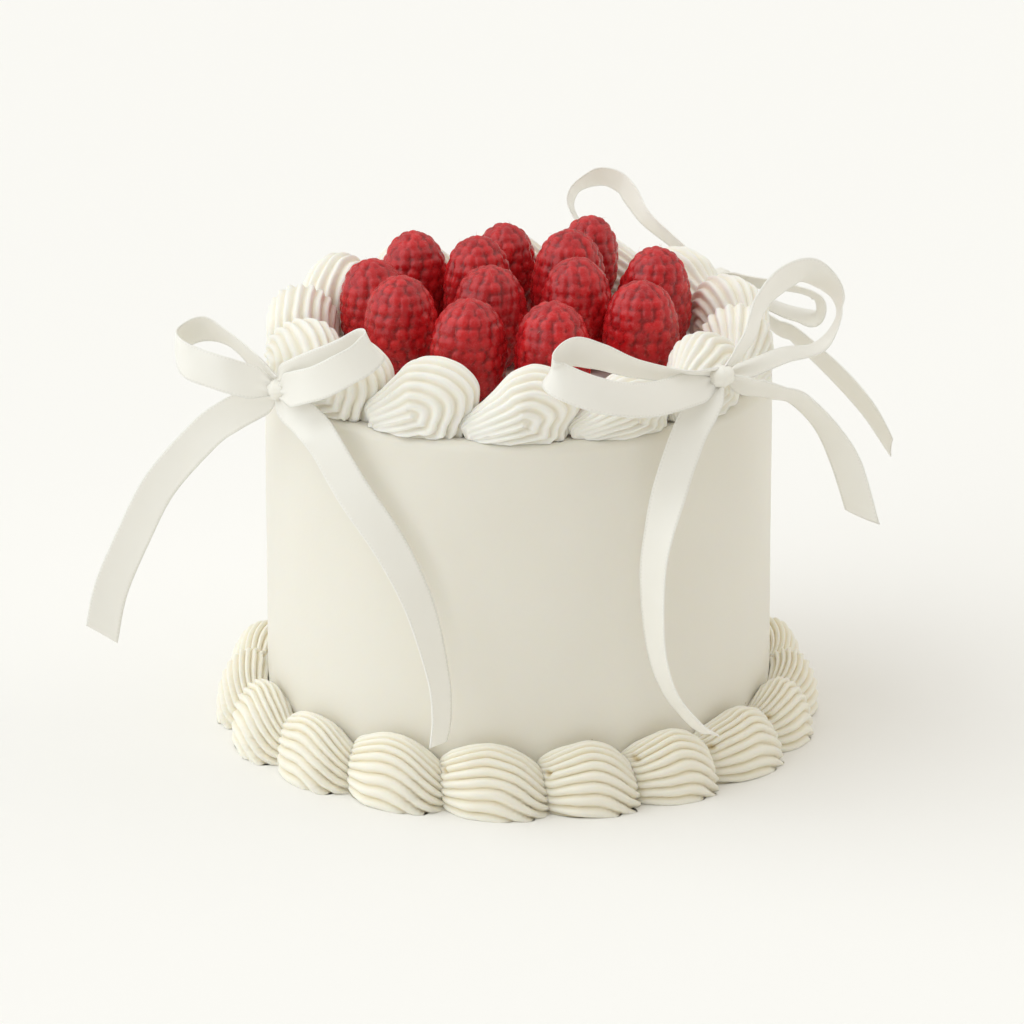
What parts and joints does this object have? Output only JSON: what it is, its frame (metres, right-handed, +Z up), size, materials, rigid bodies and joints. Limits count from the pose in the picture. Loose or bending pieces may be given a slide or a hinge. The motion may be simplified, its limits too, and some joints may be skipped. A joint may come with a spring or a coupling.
{
  "type": "angel food cake",
  "caption": "Tall round angel food cake in smooth ivory icing, with piped shell borders, fresh raspberries heaped on top and satin ribbon bows at its rim.",
  "frame": {"origin": "middle of the cake's flat bottom, where it stands", "axes": "+Z up; -Y is the front, the side that faces the camera in the picture; +X is to the right as the front is looked at"},
  "size_m": [0.2375, 0.1883, 0.1474],
  "materials": {
    "icing": "smooth satin icing, stands in for whipped icing",
    "piped_icing": "piped satin icing, stands in for whipped icing",
    "raspberry": "fresh fruit with a soft sheen, stands in for raspberry flesh",
    "satin_ribbon": "woven satin"
  },
  "bodies": {
    "root": {"cake": "icing", "top_shell_01": "piped_icing", "top_shell_02": "piped_icing", "top_shell_03": "piped_icing", "top_shell_04": "piped_icing", "top_shell_05": "piped_icing", "top_shell_06": "piped_icing", "top_shell_07": "piped_icing", "top_shell_08": "piped_icing", "top_shell_09": "piped_icing", "top_shell_10": "piped_icing", "top_shell_11": "piped_icing", "top_shell_12": "piped_icing", "top_shell_13": "piped_icing", "top_shell_14": "piped_icing", "bottom_shell_01": "piped_icing", "bottom_shell_02": "piped_icing", "bottom_shell_03": "piped_icing", "bottom_shell_04": "piped_icing", "bottom_shell_05": "piped_icing", "bottom_shell_06": "piped_icing", "bottom_shell_07": "piped_icing", "bottom_shell_08": "piped_icing", "bottom_shell_09": "piped_icing", "bottom_shell_10": "piped_icing", "bottom_shell_11": "piped_icing", "bottom_shell_12": "piped_icing", "bottom_shell_13": "piped_icing", "bottom_shell_14": "piped_icing", "bottom_shell_15": "piped_icing", "bottom_shell_16": "piped_icing", "bottom_shell_17": "piped_icing", "bottom_shell_18": "piped_icing", "bottom_shell_19": "piped_icing", "raspberry_01": "raspberry", "raspberry_02": "raspberry", "raspberry_03": "raspberry", "raspberry_04": "raspberry", "raspberry_05": "raspberry", "raspberry_06": "raspberry", "raspberry_07": "raspberry", "raspberry_08": "raspberry", "raspberry_09": "raspberry", "raspberry_10": "raspberry", "raspberry_11": "raspberry", "raspberry_12": "raspberry", "raspberry_13": "raspberry", "raspberry_14": "raspberry", "bow_left": "satin_ribbon", "bow_right": "satin_ribbon", "bow_back": "satin_ribbon", "bow_left_tail_a": "satin_ribbon", "bow_left_tail_b": "satin_ribbon", "bow_right_tail_a": "satin_ribbon", "bow_right_tail_b": "satin_ribbon", "bow_back_tail_a": "satin_ribbon", "bow_back_tail_b": "satin_ribbon"}
  },
  "joints": []
}
